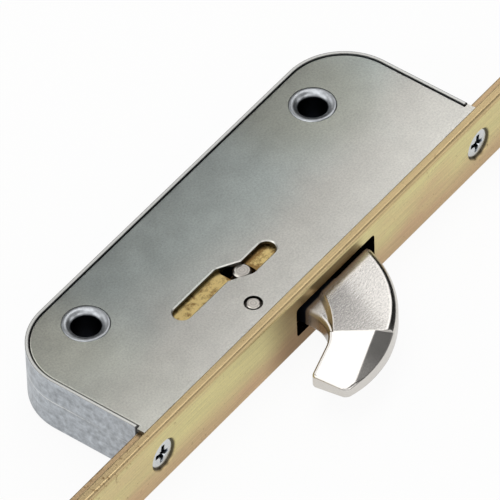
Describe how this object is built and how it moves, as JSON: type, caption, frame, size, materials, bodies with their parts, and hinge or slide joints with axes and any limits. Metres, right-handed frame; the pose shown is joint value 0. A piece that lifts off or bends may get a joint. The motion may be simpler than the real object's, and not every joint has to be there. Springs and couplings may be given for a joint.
{
  "type": "multipoint lock hook bolt case",
  "caption": "Hook bolt case of a multipoint door lock on its faceplate, with a sliding drive rail whose follower pin swings the hook in and out.",
  "frame": {"origin": "back of the faceplate, midway between its two fixing holes and at mid height of the case", "axes": "+X along the faceplate, away from the side that the hook points to; +Y into the door; +Z out of the cover plate"},
  "size_m": [0.2, 0.063, 0.016],
  "materials": {
    "yellow_passivated_steel": "zinc plated and yellow passivated steel strip",
    "galvanised_steel": "drawn galvanised sheet steel",
    "satin_sheet_steel": "flat zinc plated sheet steel",
    "nickel_plated_steel": "solid hook, nickel plated",
    "bright_zinc_steel": "bright zinc plated screws and eyelets",
    "bare_steel": "ground steel pins and turned parts"
  },
  "bodies": {
    "case": {"faceplate": "yellow_passivated_steel", "case_tray": "galvanised_steel", "cover_plate": "satin_sheet_steel", "left_fixing_block": "bare_steel", "right_fixing_block": "bare_steel", "left_case_screw": "bright_zinc_steel", "right_case_screw": "bright_zinc_steel", "left_eyelet": "bright_zinc_steel", "right_eyelet": "bright_zinc_steel", "left_eyelet_spacer": "bare_steel", "right_eyelet_spacer": "bare_steel", "hook_pivot_pin": "bare_steel"},
    "drive": {"drive_rail": "yellow_passivated_steel", "upper_slider_plate": "yellow_passivated_steel", "lower_slider_plate": "yellow_passivated_steel", "drive_block": "bare_steel", "slider_rivets": "bare_steel"},
    "hook": {"hook_bolt": "nickel_plated_steel"},
    "follower": {"follower_pin": "bare_steel", "follower_sleeve": "bare_steel"}
  },
  "joints": [
    {"name": "rail_slide", "type": "slide", "parent": "case", "child": "drive", "axis": [1, 0, 0], "range_m": [-0.0177, 0]},
    {"name": "hook_swing", "type": "hinge", "parent": "case", "child": "hook", "pos_m": [-0.0154, 0.0043, 0], "axis": [0, 0, 1], "range_deg": [0, 86.24]},
    {"name": "pin_shift", "type": "slide", "parent": "drive", "child": "follower", "axis": [0, 1, 0], "range_m": [0, 0.002]}
  ],
  "couplings": [
    {"joint": "hook_swing", "follows": "rail_slide", "rad_per_m": -85.033},
    {"joint": "pin_shift", "follows": "rail_slide", "ratio": -0.11299}
  ]
}
